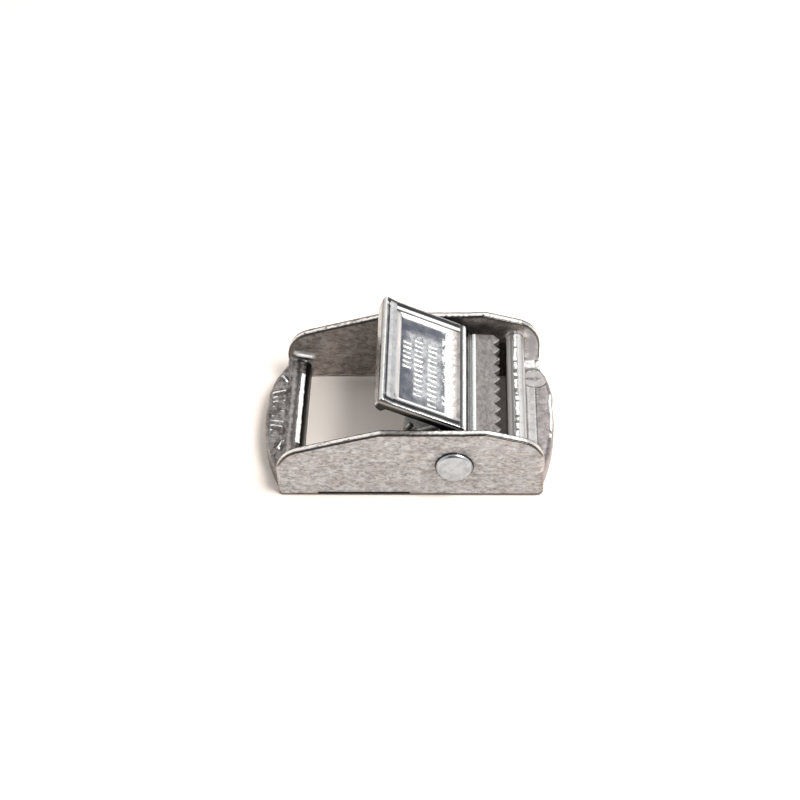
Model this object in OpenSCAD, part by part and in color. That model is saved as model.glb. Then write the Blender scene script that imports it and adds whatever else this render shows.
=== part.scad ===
// Cam buckle for 25 mm webbing. A drawn sheet-metal frame carries a toothed
// cam lever on a rivet, and a torsion spring round the rivet holds the lever.
// X runs along the buckle, from the webbing bar to the anvil bar. Y runs along
// the rivet, and Z is up. The buckle lies on Z = 0, with its middle over the
// origin. Lengths are in millimetres and angles in degrees.

/* [Frame] */
// Length of the side plates
plate_len = 43.8; // [43:0.1:46]
// Width over the side plates
frame_w = 30; // [29:0.5:34]
// Height of the side plates
plate_h = 13.7; // [13:0.1:15]
// Thickness of the frame's sheet metal
sheet_t = 1.4; // [1.2:0.1:1.6]
// Slope of the plates' top edge towards both ends
plate_slope = 16; // [12:1:18]
// Length of the plates' level top edge
plate_flat = 17; // [15:0.5:19]
// Where the level top edge starts, from the plates' left end
plate_flat_start = 17.2; // [16:0.1:19]
// Radius of the plates' top corners
plate_corner_r = 5.1; // [4.6:0.5:5.6]

/* [Webbing bar] */
// Width of the bar between the plates
bar_w = 3.9; // [3.5:0.1:5]
// Height of the bar
bar_h = 4.4; // [4:0.1:5]
// How far the left lip bulges past the plates
bar_bulge = 3; // [2:0.1:4]
// Width of the left lip where it leaves the plates
bar_lip_w = 26.6; // [25:0.1:27]

/* [Base plate] */
// Length of the window between the bar and the base plate
window_len = 16.5; // [15:0.1:18]
// Length of the slot between the base plate and the anvil bar
slot_len = 4.8; // [4.3:0.1:5]

/* [Anvil bar and shelf] */
// The anvil bar's toothed-side face, from the plates' left end
anvil_x = 37.95; // [37.8:0.05:38.3]
// Thickness of the anvil bar, a hem of two layers
anvil_t = 3; // [2.8:0.1:3.2]
// Height of the anvil bar
anvil_h = 10.6; // [10:0.1:11]
// Height of the shelf behind the anvil bar
shelf_h = 3.8; // [3.5:0.1:4.5]
// How far the right lip bulges past the plates
shelf_bulge = 2.1; // [1.5:0.1:3]
// Width of the right lip where it leaves the plates
shelf_lip_w = 25; // [24:0.1:27]

/* [Rivet] */
// The rivet's place, from the plates' left end
pivot_from_end = 29.15; // [29:0.05:29.3]
// The rivet's height
pivot_z = 6.95; // [6.85:0.05:7.05]
// Diameter of the rivet's shank
pin_d = 3.2; // [3:0.1:3.4]
// Diameter of the rivet's heads
head_d = 6; // [5:0.1:6.4]
// Thickness of the rivet's heads
head_t = 0.8; // [0.6:0.1:1]
// Radial clearance of the shank in the plates and in the ears
pin_play = 0.05; // [0.03:0.01:0.1]

/* [Cam lever] */
// Length of the thumb panel along its slope
panel_len = 15; // [13:0.1:15.2]
// Slope of the thumb panel
panel_angle = 26; // [24:0.5:28]
// Height of the panel's plane over the rivet's axis
panel_lift = 6.2; // [6.05:0.05:6.35]
// Width of the thumb panel
lever_w = 25; // [24:0.1:25.6]
// Width of the lever at the teeth
cam_w = 24; // [23.6:0.1:24.6]
// Thickness of the lever's sheet metal
lever_t = 1.3; // [1.1:0.1:1.4]
// Depth of the flange turned down at the thumb end
thumb_flange_depth = 2.4; // [2:0.1:2.6]
// Depth of the flanges turned down at the sides
side_flange_depth = 1.7; // [1.5:0.1:2]
// How far the thumb end kicks up, for grip
thumb_kick = 0.4; // [0.2:0.1:0.6]
// Radius of the ears round the rivet
ear_r = 3.4; // [3:0.1:3.6]
// Depth of the panel's recess
recess_depth = 0.5; // [0.3:0.1:0.6]
// Number of teeth
tooth_count = 10; // [8:1:12]
// Depth of the teeth
tooth_depth = 1.05; // [0.8:0.05:1.3]

/* [Torsion spring] */
// Diameter of the wire
wire_d = 1.1; // [0.9:0.1:1.2]
// Mean diameter of the coil
coil_d = 4.5; // [4.5:0.1:4.7]
// Whole turns of the coil
coil_turns = 4; // [3:1:6]
// Distance between the turns
coil_pitch = 1.2; // [1.2:0.05:1.4]

/* [Hidden] */
$fn = 96;

// Places along the buckle, measured from the plates' left end
base_start = bar_w + window_len;
base_end = anvil_x - slot_len;
shelf_start = anvil_x + anvil_t;
plate_flat_end = plate_flat_start + plate_flat;
inner_w = frame_w - 2 * sheet_t;

// The plates' left end lies here, so that the buckle is centred on X = 0
left_end = -(plate_len + shelf_bulge - bar_bulge) / 2;

// Bends and blends
bend_r = 0.5;
corner_r = 1.2;
blend_r = 0.7;
base_blend_r = 0.6;
bar_edge_r = 2;
anvil_edge_r = 1.4;
anvil_foot_r = 0.5;
shelf_foot_r = 0.8;
lip_edge_r = 1.2;
window_corner_r = 1;

// The plates' edge is cut a little short beside the window
window_relief = 0.3;
relief_start = 6.5;
relief_end = 22;

// The lips lie a little lower than the bar and the shelf behind them
bar_crease = 0.65;
lip_step = 0.2;
shelf_crease = 42.9;
crease_w = 0.3;

// The stamped arrow on the right lip
mark_x = 42.8;
mark_y = 9.3;
mark_d = 4.4;
mark_depth = 0.15;
arrow_len = 2.4;
arrow_line = 0.35;
arrow_head = 0.9;

// A cut that has to pass a face goes this far past it, and a solid that has
// to join another one goes this far into it
over = 1;
tall = 40;
lap = 0.1;

// A round tangent to both lines at a corner q, between its neighbours p and s
function unit(v) = v / norm(v);
function turn(p, q, s) = (q.x - p.x) * (s.y - q.y) - (q.y - p.y) * (s.x - q.x);
function half_angle(p, q, s) = acos(unit(p - q) * unit(s - q)) / 2;
function tangent(from, q, r, half) = q + unit(from - q) * r / tan(half);
function round_centre(p, q, s, r, half) = q + unit(unit(p - q) + unit(s - q)) * r / sin(half);

// The sector of a circle that a round adds to, or takes from, a corner
module corner_sector(p, q, s, r) {
    half = half_angle(p, q, s);
    centre = round_centre(p, q, s, r, half);
    translate(centre) intersection() {
        circle(r);
        polygon(2 * [[0, 0], tangent(p, q, r, half) - centre, q - centre, tangent(s, q, r, half) - centre]);
    }
}

// A polygon, listed anticlockwise as rows of [x, y, corner radius]
module rounded_polygon(rows) {
    n = len(rows);
    at = [for (row = rows) [row[0], row[1]]];
    function before(i) = at[(i + n - 1) % n];
    function after(i) = at[(i + 1) % n];
    outline = [for (i = [0:n - 1]) each rows[i][2] == 0 ? [at[i]] :
        let (half = half_angle(before(i), at[i], after(i)))
        [tangent(before(i), at[i], rows[i][2], half), tangent(after(i), at[i], rows[i][2], half)]];
    difference() {
        union() {
            polygon(outline);
            for (i = [0:n - 1]) if (rows[i][2] > 0 && turn(before(i), at[i], after(i)) > 0)
                corner_sector(before(i), at[i], after(i), rows[i][2]);
        }
        for (i = [0:n - 1]) if (rows[i][2] > 0 && turn(before(i), at[i], after(i)) < 0)
            corner_sector(before(i), at[i], after(i), rows[i][2]);
    }
}

// A profile drawn in X and Z, run along Y about the middle
module along_y(length) {
    rotate([90, 0, 0]) linear_extrude(length, center = true) children();
}

// A profile drawn in Y and Z, run along X from one place to another
module along_x(from, to) {
    translate([from, 0, 0]) rotate([90, 0, 90]) linear_extrude(to - from) children();
}

// A quarter of a square left by a circle: the section of a concave blend
module blend_section(r) {
    difference() {
        translate([-lap, -lap]) square(r + lap);
        translate([r, r]) circle(r);
    }
}

// A concave blend along X, between a plate and a face at a height
module straight_blend(from, to, height, r) {
    along_x(from, to) translate([inner_w / 2, height]) mirror([1, 0]) blend_section(r);
}

// The same blend carried round an edge of a bar, about a place in X and Z
module round_blend(centre, edge_r, angle) {
    translate([centre.x, inner_w / 2, centre.y]) rotate([90, 0, 0]) rotate_extrude(angle = angle)
        translate([edge_r, 0]) blend_section(blend_r);
}

// Outline of a side plate, in X and Z
module plate_outline() {
    rise = tan(plate_slope);
    left_z = plate_h - rise * plate_flat_start;
    right_z = plate_h - rise * (plate_len - plate_flat_end);
    rounded_polygon([
        [0, 0, 0],
        [plate_len, 0, 0],
        [plate_len, right_z, plate_corner_r],
        [plate_flat_end, plate_h, 0],
        [plate_flat_start, plate_h, 0],
        [0, left_z, plate_corner_r]
    ]);
}

// Both side plates, with their bottom edge cut short beside the window
module side_plates() {
    for (side = [-1, 1])
        translate([0, side * (frame_w - sheet_t) / 2, 0])
            difference() {
                along_y(sheet_t) plate_outline();
                translate([relief_start, -over, -over])
                    cube([relief_end - relief_start, 2 * over, over + window_relief]);
            }
}

// Section of a lip from its middle out to its edge: top sheet and outer wall
module lip_section(radius, height) {
    difference() {
        rounded_polygon([[0, 0, 0], [radius, 0, 0], [radius, height, lip_edge_r], [0, height, 0]]);
        translate([-over, -over]) square([radius - sheet_t + over, height - sheet_t + over]);
    }
}

// A lip that bulges towards +X from X = 0, as a slice of a disc
module lip(bulge, width, height) {
    half = width / 2;
    radius = (half * half + bulge * bulge) / (2 * bulge);
    intersection() {
        translate([bulge - radius, 0, 0]) rotate_extrude($fn = 360) lip_section(radius, height);
        translate([-0.5, -half - over, -over]) cube([bulge + over, width + 2 * over, tall]);
    }
}

// The webbing bar: a channel, open underneath, and its lip
module webbing_bar() {
    along_y(inner_w + 2 * lap) difference() {
        rounded_polygon([[0, 0, 0], [bar_w, 0, 0], [bar_w, bar_h, bar_edge_r], [0, bar_h, 0]]);
        translate([-over, -over]) square([bar_w - sheet_t + over, bar_h - sheet_t + over]);
        translate([-over, bar_h - lip_step]) square([bar_crease + over, over]);
    }
    mirror([1, 0, 0]) lip(bar_bulge, bar_lip_w, bar_h - lip_step);
}

// The plate under the cam, with round inner corners to the window and the slot
module base_plate() {
    translate([base_start, -frame_w / 2 + sheet_t / 2, 0])
        cube([base_end - base_start, frame_w - sheet_t, sheet_t]);
    for (side = [0, 1], end = [0, 1])
        mirror([0, side, 0])
            translate([end == 0 ? base_start : base_end, inner_w / 2, 0])
                mirror([1 - end, 0, 0]) rotate(-90)
                    linear_extrude(sheet_t) blend_section(window_corner_r);
}

// The anvil bar and the shelf behind it, which ends in the right lip
module anvil_and_shelf() {
    along_y(inner_w + 2 * lap) rounded_polygon([
        [anvil_x, 0, anvil_foot_r],
        [shelf_start, 0, 0],
        [shelf_start, shelf_h - sheet_t, 0],
        [plate_len, shelf_h - sheet_t, 0],
        [plate_len, shelf_h - lip_step, 0],
        [shelf_crease + crease_w, shelf_h - lip_step, 0],
        [shelf_crease + crease_w / 2, shelf_h - 2 * lip_step, 0],
        [shelf_crease, shelf_h, 0],
        [shelf_start, shelf_h, shelf_foot_r],
        [shelf_start, anvil_h, anvil_edge_r],
        [anvil_x, anvil_h, anvil_edge_r]
    ]);
    translate([plate_len, 0, 0]) lip(shelf_bulge, shelf_lip_w, shelf_h - lip_step);
}

// Concave blends where the bars, the shelf and the base meet the plates
module plate_blends() {
    for (side = [0, 1]) mirror([0, side, 0]) {
        straight_blend(bar_crease, bar_w - bar_edge_r, bar_h, blend_r);
        round_blend([bar_w - bar_edge_r, bar_h - bar_edge_r], bar_edge_r, 90);
        round_blend([shelf_start - anvil_edge_r, anvil_h - anvil_edge_r], anvil_edge_r, 90);
        straight_blend(anvil_x + anvil_edge_r, shelf_start - anvil_edge_r, anvil_h, blend_r);
        mirror([1, 0, 0])
            round_blend([-anvil_x - anvil_edge_r, anvil_h - anvil_edge_r], anvil_edge_r, 90);
        straight_blend(shelf_start, shelf_crease, shelf_h, blend_r);
        straight_blend(base_start, base_end, sheet_t, base_blend_r);
    }
}

// What the bends round off: the plates' bottom and upright edges
module bend_cuts() {
    for (side = [0, 1]) mirror([0, side, 0]) {
        for (stretch = [[-over, relief_start], [relief_end, plate_len + over]])
            along_x(stretch[0], stretch[1])
                translate([frame_w / 2, 0]) mirror([1, 0]) blend_section(bend_r);
        for (end = [0, 1])
            translate([end * plate_len, frame_w / 2, -over]) mirror([end, 1, 0])
                linear_extrude(tall) blend_section(corner_r);
    }
}

// The arrow stamped into the right lip, pointing out over the lip
module arrow_mark() {
    tip = arrow_len / 2;
    translate([mark_x, mark_y, shelf_h - lip_step - mark_depth]) linear_extrude(over) difference() {
        circle(d = mark_d);
        translate([-tip, -arrow_line / 2]) square([arrow_len - arrow_head + lap, arrow_line]);
        polygon([[tip, 0], [tip - arrow_head, arrow_head / 2], [tip - arrow_head, -arrow_head / 2]]);
    }
}

// The bore for the rivet, through everything of a width
module pivot_bore(width) {
    rotate([90, 0, 0]) cylinder(h = width + 2 * over, d = pin_d + 2 * pin_play, center = true);
}

module buckle_frame() {
    color([0.72, 0.70, 0.68])
        translate([left_end, 0, 0])
            difference() {
                union() {
                    side_plates();
                    webbing_bar();
                    base_plate();
                    anvil_and_shelf();
                    plate_blends();
                }
                bend_cuts();
                arrow_mark();
                translate([pivot_from_end, 0, pivot_z]) pivot_bore(frame_w);
            }
}

// Directions along the thumb panel, towards the teeth, and square to it
panel_dir = [cos(panel_angle), -sin(panel_angle)];
panel_up = [sin(panel_angle), cos(panel_angle)];

// Places on the lever, in X and Z from the rivet's axis
panel_back = 1.2;
panel_end = panel_up * panel_lift - panel_dir * panel_back;
thumb_end = panel_end - panel_dir * panel_len;
groove_floor = [2.6, 4.3];
cam_edge = [3.3, 4.68];
tooth_tip = [7.65, 4.37];

// Rounds of the lever's edges, of the groove and of the thumb end's corners
rim_r = 0.5;
groove_r = 0.25;
cam_edge_r = 0.3;
flange_end_r = 1;
thumb_corner_r = 1.3;

// The kick's length, where the side flanges start behind the thumb end, and
// how far back from the panel's end they run into the ears
kick_len = 2.4;
flange_step = 0.5;
flange_back = 3;

// How far the cam's toothed end leans back under its tips
cam_back = 1.6;
tooth_lean = 0.15;

// The panel's rim, and the slopes that lead down into its recess
rim_w = 2.6;
rim_slope = 0.6;
side_rim_w = 1.9;
side_slope = 1;
end_rim_w = 1.45;
end_slope = 1.85;

// How far the gaps between the teeth open beyond the tips
tooth_open = 0.3;
tooth_flare = 0.62;

// Section of the top sheet and the ears as one solid form, in X and Z
module lever_outline() {
    kick_start = thumb_end + panel_dir * kick_len;
    kick_top = thumb_end + panel_up * thumb_kick;
    flange_start = thumb_end - panel_up * thumb_flange_depth;
    step_start = flange_start + panel_dir * lever_t;
    step_end = thumb_end + panel_dir * (lever_t + flange_step) - panel_up * side_flange_depth;
    flange_end = panel_end - panel_up * side_flange_depth - panel_dir * flange_back / cos(panel_angle);
    rounded_polygon([
        [flange_start.x, flange_start.y, 0],
        [step_start.x, step_start.y, 0],
        [step_end.x, step_end.y, 0],
        [flange_end.x, flange_end.y, flange_end_r],
        [-ear_r, 0, 0],
        [0, 0, 0],
        [ear_r, 0, 0],
        [tooth_tip.x - cam_back, tooth_tip.y - lever_t, 0],
        [tooth_tip.x - tooth_lean, tooth_tip.y - lever_t, 0],
        [tooth_tip.x, tooth_tip.y, 0],
        [cam_edge.x, cam_edge.y, cam_edge_r],
        [groove_floor.x, groove_floor.y, groove_r],
        [panel_end.x, panel_end.y, rim_r],
        [kick_start.x, kick_start.y, 0],
        [kick_top.x, kick_top.y, rim_r]
    ]);
    circle(ear_r);
}

// Section of the hollow under the top sheet, between the ears
module lever_hollow() {
    roof_start = thumb_end + (panel_dir - panel_up) * lever_t;
    roof_end = panel_end - panel_up * lever_t;
    skirt = roof_start - panel_up * 2 * thumb_flange_depth;
    polygon([
        [skirt.x, skirt.y],
        [roof_start.x, roof_start.y],
        [roof_end.x, roof_end.y],
        [groove_floor.x, groove_floor.y - lever_t],
        [tooth_tip.x - over, tooth_tip.y - lever_t],
        [tooth_tip.x + over, tooth_tip.y - lever_t],
        [tooth_tip.x + over, -tall],
        [skirt.x, -tall]
    ]);
}

// Plan of the lever: it narrows from the thumb panel's end to the cam
module lever_plan() {
    outer_end = thumb_end.x - thumb_flange_depth * sin(panel_angle);
    rounded_polygon([
        [outer_end, -lever_w / 2, thumb_corner_r],
        [panel_end.x, -lever_w / 2, 0],
        [cam_edge.x, -cam_w / 2, 0],
        [tooth_tip.x + over, -cam_w / 2, 0],
        [tooth_tip.x + over, cam_w / 2, 0],
        [cam_edge.x, cam_w / 2, 0],
        [panel_end.x, lever_w / 2, 0],
        [outer_end, lever_w / 2, thumb_corner_r]
    ]);
}

// The recess pressed into the thumb panel, with sloping sides
module panel_recess() {
    floor_len = panel_len - rim_w - rim_slope - end_slope - end_rim_w;
    top_len = floor_len + rim_slope + end_slope;
    top_w = lever_w - 2 * side_rim_w;
    floor_w = top_w - 2 * side_slope;
    skin = 0.01;
    translate([thumb_end.x, 0, thumb_end.y]) rotate([0, panel_angle, 0]) translate([rim_w, 0, 0])
        hull() {
            translate([rim_slope, -floor_w / 2, -recess_depth]) cube([floor_len, floor_w, skin]);
            translate([0, -top_w / 2, 0]) cube([top_len, top_w, skin]);
        }
}

// The gaps between the teeth, cut straight through the cam's edge
module tooth_gaps() {
    pitch = cam_w / tooth_count;
    flare = pitch * tooth_flare;
    for (i = [0:tooth_count]) translate([tooth_tip.x, (i - tooth_count / 2) * pitch, 0])
        linear_extrude(tall, center = true)
            polygon([[-tooth_depth, 0], [tooth_open, -flare], [tooth_open, flare]]);
}

module cam_lever() {
    color([0.66, 0.67, 0.69])
        translate([left_end + pivot_from_end, 0, pivot_z])
            difference() {
                intersection() {
                    along_y(lever_w) lever_outline();
                    translate([0, 0, -tall]) linear_extrude(2 * tall) lever_plan();
                }
                along_y(cam_w - 2 * lever_t) lever_hollow();
                panel_recess();
                tooth_gaps();
                pivot_bore(lever_w);
            }
}

// The rivet: its shank through both plates, and a head on each side
module pivot_rivet() {
    dome = 0.1;
    chamfer = 0.35;
    half_w = frame_w / 2;
    color([0.80, 0.81, 0.81])
        translate([left_end + pivot_from_end, 0, pivot_z])
            rotate([-90, 0, 0]) rotate_extrude()
                rounded_polygon([
                    [0, -half_w - head_t, 0],
                    [head_d / 2 - chamfer, -half_w - head_t + dome, 0],
                    [head_d / 2, -half_w - head_t + dome + chamfer, 0],
                    [head_d / 2, -half_w, 0],
                    [pin_d / 2, -half_w, 0],
                    [pin_d / 2, half_w, 0],
                    [head_d / 2, half_w, 0],
                    [head_d / 2, half_w + head_t - dome - chamfer, 0],
                    [head_d / 2 - chamfer, half_w + head_t - dome, 0],
                    [0, half_w + head_t, 0]
                ]);
}

// The spring's foot rests on the base plate and its arm presses the panel.
// Places are in X and Z from the rivet's axis, and the coil runs along Y.
spring_gap = 0.05;
coil_r = coil_d / 2;
coil_half = coil_pitch * coil_turns / 2;
coil_steps = 20;
hook_r = 0.75;
hook_from = 135;
hook_tail = 1.1;
arm_reach = 7;
foot = [base_start + 1.3 - pivot_from_end, sheet_t + wire_d / 2 + spring_gap - pivot_z];
arm_tip = panel_up * (panel_lift - lever_t - wire_d / 2 - spring_gap) - panel_dir * arm_reach;

// Angle round the coil at which a straight leg from a place meets it
function leg_angle(place, side) = atan2(place.y, place.x) + side * acos(coil_r / norm(place));

module torsion_spring() {
    foot_angle = leg_angle(foot, 1);
    arm_angle = leg_angle(arm_tip, -1);
    wound = arm_angle - foot_angle + 360 * (coil_turns + 1);
    steps = ceil(wound / 360 * coil_steps);
    function on_hook(a) = [foot.x + hook_r * cos(a), -coil_half, foot.y + hook_r * (1 + sin(a))];
    hook = [for (a = [hook_from:15:270]) on_hook(a)];
    tail = [on_hook(hook_from) + hook_tail * [sin(hook_from), 0, -cos(hook_from)]];
    coil = [for (i = [0:steps])
        let (a = foot_angle + wound * i / steps)
        [coil_r * cos(a), coil_half * (2 * i / steps - 1), coil_r * sin(a)]];
    arm = [[arm_tip.x, coil_half, arm_tip.y]];
    color([0.55, 0.54, 0.52])
        translate([left_end + pivot_from_end, 0, pivot_z])
            wire(concat(tail, hook, coil, arm), wire_d / 2, 8);
}

// A round wire along a route, as rings square to it
module wire(route, r, sides) {
    n = len(route);
    function along(i) = unit(route[min(i + 1, n - 1)] - route[max(i - 1, 0)]);
    points = [for (i = [0:n - 1])
        let (t = along(i), u = unit(cross(t, [0, 1, 0])), v = cross(t, u))
        for (k = [0:sides - 1]) route[i] + r * (cos(360 * k / sides) * u + sin(360 * k / sides) * v)];
    sides_faces = [for (i = [0:n - 2], k = [0:sides - 1])
        let (a = i * sides + k, b = i * sides + (k + 1) % sides) [a, b, b + sides, a + sides]];
    first = [for (k = [sides - 1:-1:0]) k];
    last = [for (k = [0:sides - 1]) (n - 1) * sides + k];
    polyhedron(points, concat([first], sides_faces, [last]), convexity = 10);
}

buckle_frame();
cam_lever();
pivot_rivet();
torsion_spring();
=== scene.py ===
import math

import bpy
import numpy as np
from bpy.props import FloatProperty, FloatVectorProperty, IntProperty, PointerProperty
from bpy.types import Operator, Panel, PropertyGroup
from mathutils import Matrix, Vector, noise


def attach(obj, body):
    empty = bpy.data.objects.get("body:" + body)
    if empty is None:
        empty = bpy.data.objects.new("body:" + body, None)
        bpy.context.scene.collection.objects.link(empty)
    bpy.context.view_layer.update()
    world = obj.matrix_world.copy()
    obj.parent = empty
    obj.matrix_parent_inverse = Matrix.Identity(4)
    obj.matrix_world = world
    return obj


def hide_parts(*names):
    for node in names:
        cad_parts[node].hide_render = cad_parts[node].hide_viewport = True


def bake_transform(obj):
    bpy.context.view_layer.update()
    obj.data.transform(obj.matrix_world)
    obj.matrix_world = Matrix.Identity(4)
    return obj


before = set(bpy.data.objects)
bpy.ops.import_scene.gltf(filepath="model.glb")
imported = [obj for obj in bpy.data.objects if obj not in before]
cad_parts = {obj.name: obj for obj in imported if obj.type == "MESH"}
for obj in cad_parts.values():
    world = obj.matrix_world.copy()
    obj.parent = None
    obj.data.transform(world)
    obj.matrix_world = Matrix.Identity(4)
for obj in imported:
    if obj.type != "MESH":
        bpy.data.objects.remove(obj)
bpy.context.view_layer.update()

bl_info = {
    "name": "Cam Buckle",
    "version": (1, 0, 0),
    "blender": (4, 5, 0),
    "location": "View3D > Sidebar > Buckle",
    "description": "Finishes a pressed metal cam buckle and sets it on a pale floor",
    "category": "Object",
}

# The model is in metres, and the places and sizes below are in millimetres
MM = 0.001
PIVOT = Vector((7.7, 0, 6.95))

# Half the width over the side plates, and between them
HALF_OUTER = 15.0
HALF_INNER = 13.6

# The thumb panel's plane: its slope, and how far over the rivet's axis it lies
PANEL_SLOPE = math.radians(26)
PANEL_LIFT = 6.2
PANEL_DOWN = np.array([math.cos(PANEL_SLOPE), 0, -math.sin(PANEL_SLOPE)])
PANEL_UP = np.array([math.sin(PANEL_SLOPE), 0, math.cos(PANEL_SLOPE)])

# Painted highlights and painted shade lines on the panel's side rims: from and to across the panel,
# and shade. Lines up to the dark shade keep their metal shine.
DARK_SHADE = 0.3
RIM_HIGHLIGHT_AND_SHADE = (
    (11.32, 12.15, 0.08),
    (10.62, 11.22, 0.85),
    (10.12, 10.48, 0.15),
    (-11.1, -10.6, 0.33),
    (-12.05, -11.2, 0.08),
)

# Painted highlights and painted shade lines on its thumb rim: from and to along the panel, and shade
THUMB_HIGHLIGHT_AND_SHADE = (
    (-15.42, -15.15, 0.15),
    (-15.05, -14.4, 0.5),
    (-14.4, -13.8, 0.4),
)

# Painted highlights and painted shade lines along the fold behind the panel: from and to in X, and shade
FOLD_HIGHLIGHT_AND_SHADE = (
    (8.6, 9.05, 0.14),
    (9.24, 9.55, 0.95),
    (9.62, 10.0, 0.0),
    (10.06, 10.58, 0.27),
    (10.7, 11.2, 0.74),
)

# Welts on the left lip, from place to place in X and Y
LIP_WELTS = (((-22.1, 9.35), (-21.25, 7.8)), ((-20.95, -6.5), (-21.7, -8.4)))

# The round mark stamped into the right lip: its middle and its radius
MARK_X = 21.35
MARK_Y = 9.3
MARK_R = 2.2

# Rows of grip bars in the recess: places along and across the panel, and count of bars. Then their
# pitch, and half the width of a bar there and on the left lip.
GRIP_ROWS = ((-11.6, 1.2, 6), (-9.3, -1.0, 12), (-6.7, -1.7, 13))
GRIP_PITCH = 1.1
BAR_HALF = 0.2

# The grip bars on the left lip: where they start and end along Y, their pitch, and their height and
# the welts' as shares of the grip height
LIP_BARS_FROM = -5.6
LIP_BARS_TO = 6.9
LIP_BARS_PITCH = 1.25
LIP_BARS_SHARE = 1.4
WELT_SHARE = 1.5

# Depths of the swellings at the left bar's ends, of the tears in the anvil bar's and the lips' edges,
# and of the rivet's dents
SWELLING_DEPTH = 0.5
EDGE_TEARS = 0.03
RIVET_DENTS = 0.015

# Heights of the beads at the panel's end and in its far rim
END_BEAD = 0.13
SIDE_BEAD = 0.1

# How far the plates' tops are drawn up, and how much more at the right, and the lips' far parts out
TOPS_RISE = 0.25
TOPS_RISE_MORE = 0.15
RIGHT_LIP_REACH = 0.45
LEFT_LIP_REACH = 0.3

# The most triangles of a large pressing and of the rivet
PRESSING_TRIANGLES = 195000
RIVET_TRIANGLES = 60000

# Easing passes that find the wide band beside an edge, where the lever's painted shade lies
WIDE_PASSES = 24


class BuckleShape(PropertyGroup):
    frame_grain: FloatProperty(
        name="Frame grain", description="Size of the frame mesh's faces before thinning, in mm",
        default=0.14, min=0.1, max=0.4)
    lever_grain: FloatProperty(
        name="Lever grain", description="Size of the lever mesh's faces, in mm",
        default=0.13, min=0.1, max=0.4)
    rivet_grain: FloatProperty(
        name="Rivet grain", description="Size of the rivet mesh's faces, in mm",
        default=0.1, min=0.08, max=0.3)
    edge_passes: IntProperty(
        name="Edge rounding", description="How often the sheared edges are eased", default=4, min=0, max=20)
    wave_depth: FloatProperty(
        name="Waviness", description="Depth of the sheet's waves, in mm", default=0.012, min=0, max=0.1)
    shear_depth: FloatProperty(
        name="Sheared edges", description="Depth of the tears in the sheared edges, in mm",
        default=0.05, min=0, max=0.1)
    grip_height: FloatProperty(
        name="Grip height", description="Height of the raised grip bars, in mm", default=0.17, min=0, max=0.3)


def tone_property(name, description, default):
    return FloatVectorProperty(
        name=name, description=description, subtype="COLOR", default=default, min=0, max=1)


class BuckleFinish(PropertyGroup):
    frame_light: tone_property(
        "Frame, light", "Light tone of the frame's bare metal", (0.65, 0.65, 0.65))
    frame_warm: tone_property(
        "Frame, warm", "Warmer light tone of the frame's bare metal", (0.63, 0.6, 0.575))
    frame_dark: tone_property("Frame, dark", "Dark tone of the frame's bare metal", (0.35, 0.34, 0.33))
    plating: tone_property("Plating", "Tone of the lever's plating", (0.68, 0.675, 0.67))
    cam_tone: tone_property("Cam", "Tone of the cam behind the teeth", (0.33, 0.31, 0.3))
    rivet_tone: tone_property("Rivet", "Tone of the rivet", (0.5, 0.53, 0.565))
    wire_tone: tone_property("Spring wire", "Tone of the spring's wire", (0.40, 0.38, 0.36))
    # Tone of dirt in the creases, also laid as painted shade along edges, rims, sides and underside
    grime_and_shade: tone_property("Grime", "Tone of the dark film in corners", (0.07, 0.065, 0.06))


class BuckleStage(PropertyGroup):
    camera_target: FloatVectorProperty(
        name="Camera target", description="Where the camera looks, in mm", subtype="XYZ",
        default=(-1.552, 1.406, 6.062))
    camera_distance: FloatProperty(
        name="Camera distance", description="Distance of the camera from its target, in mm",
        default=305.8, min=50)
    camera_turn: FloatProperty(
        name="Camera turn", description="Turn of the camera round the buckle", subtype="ANGLE",
        default=math.radians(2.859))
    camera_rise: FloatProperty(
        name="Camera rise", description="Height of the camera over the horizon", subtype="ANGLE",
        default=math.radians(43.908))
    camera_roll: FloatProperty(
        name="Camera roll", description="Roll of the camera", subtype="ANGLE", default=math.radians(-1.963))
    camera_lens: FloatProperty(name="Lens", description="Focal length, in mm", default=81.398, min=10)
    key_power: FloatProperty(name="Key light", description="Power of the key light, in W", default=4.2, min=0)


# Mesh helpers

def mesh_arrays(mesh):
    points = np.zeros(len(mesh.vertices) * 3)
    mesh.vertices.foreach_get("co", points)
    edges = np.zeros(len(mesh.edges) * 2, int)
    mesh.edges.foreach_get("vertices", edges)
    return points.reshape(-1, 3), edges.reshape(-1, 2)


def mean_of_neighbours(values, edges):
    a, b = edges[:, 0], edges[:, 1]
    n = len(values)
    count = np.bincount(a, minlength=n) + np.bincount(b, minlength=n)
    total = np.stack([np.bincount(a, v[b], n) + np.bincount(b, v[a], n) for v in values.T], axis=1)
    return total / np.maximum(count, 1)[:, None]


def eased(points, edges, passes):
    for _ in range(passes):
        points = points + 0.5 * (mean_of_neighbours(points, edges) - points)
    return points


def normals_of(mesh):
    normals = np.zeros(len(mesh.vertices) * 3)
    mesh.vertices.foreach_get("normal", normals)
    return normals.reshape(-1, 3)


def set_points(mesh, points):
    mesh.vertices.foreach_set("co", points.ravel())
    mesh.update()


def noise_at(points, size, seed=0.0):
    offset = Vector((seed, seed * 0.7, seed * 1.3))
    return np.array([noise.noise(Vector(p) + offset) for p in points / size])


def step(value, start, end):
    """Rises smoothly from 0 at the start to 1 at the end."""
    t = np.clip((value - start) / (end - start), 0, 1)
    return t * t * (3 - 2 * t)


def band(value, low, high, soft):
    """Is 1 between two values and 0 outside them, with soft ends."""
    return step(value, low - soft, low + soft) * (1 - step(value, high - soft, high + soft))


def applied(obj):
    """The object's mesh with its modifiers applied, as a new mesh."""
    graph = bpy.context.evaluated_depsgraph_get()
    return bpy.data.meshes.new_from_object(obj.evaluated_get(graph))


def new_piece(name, mesh):
    obj = bpy.data.objects.new(name, mesh)
    bpy.context.scene.collection.objects.link(obj)
    return obj


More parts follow.
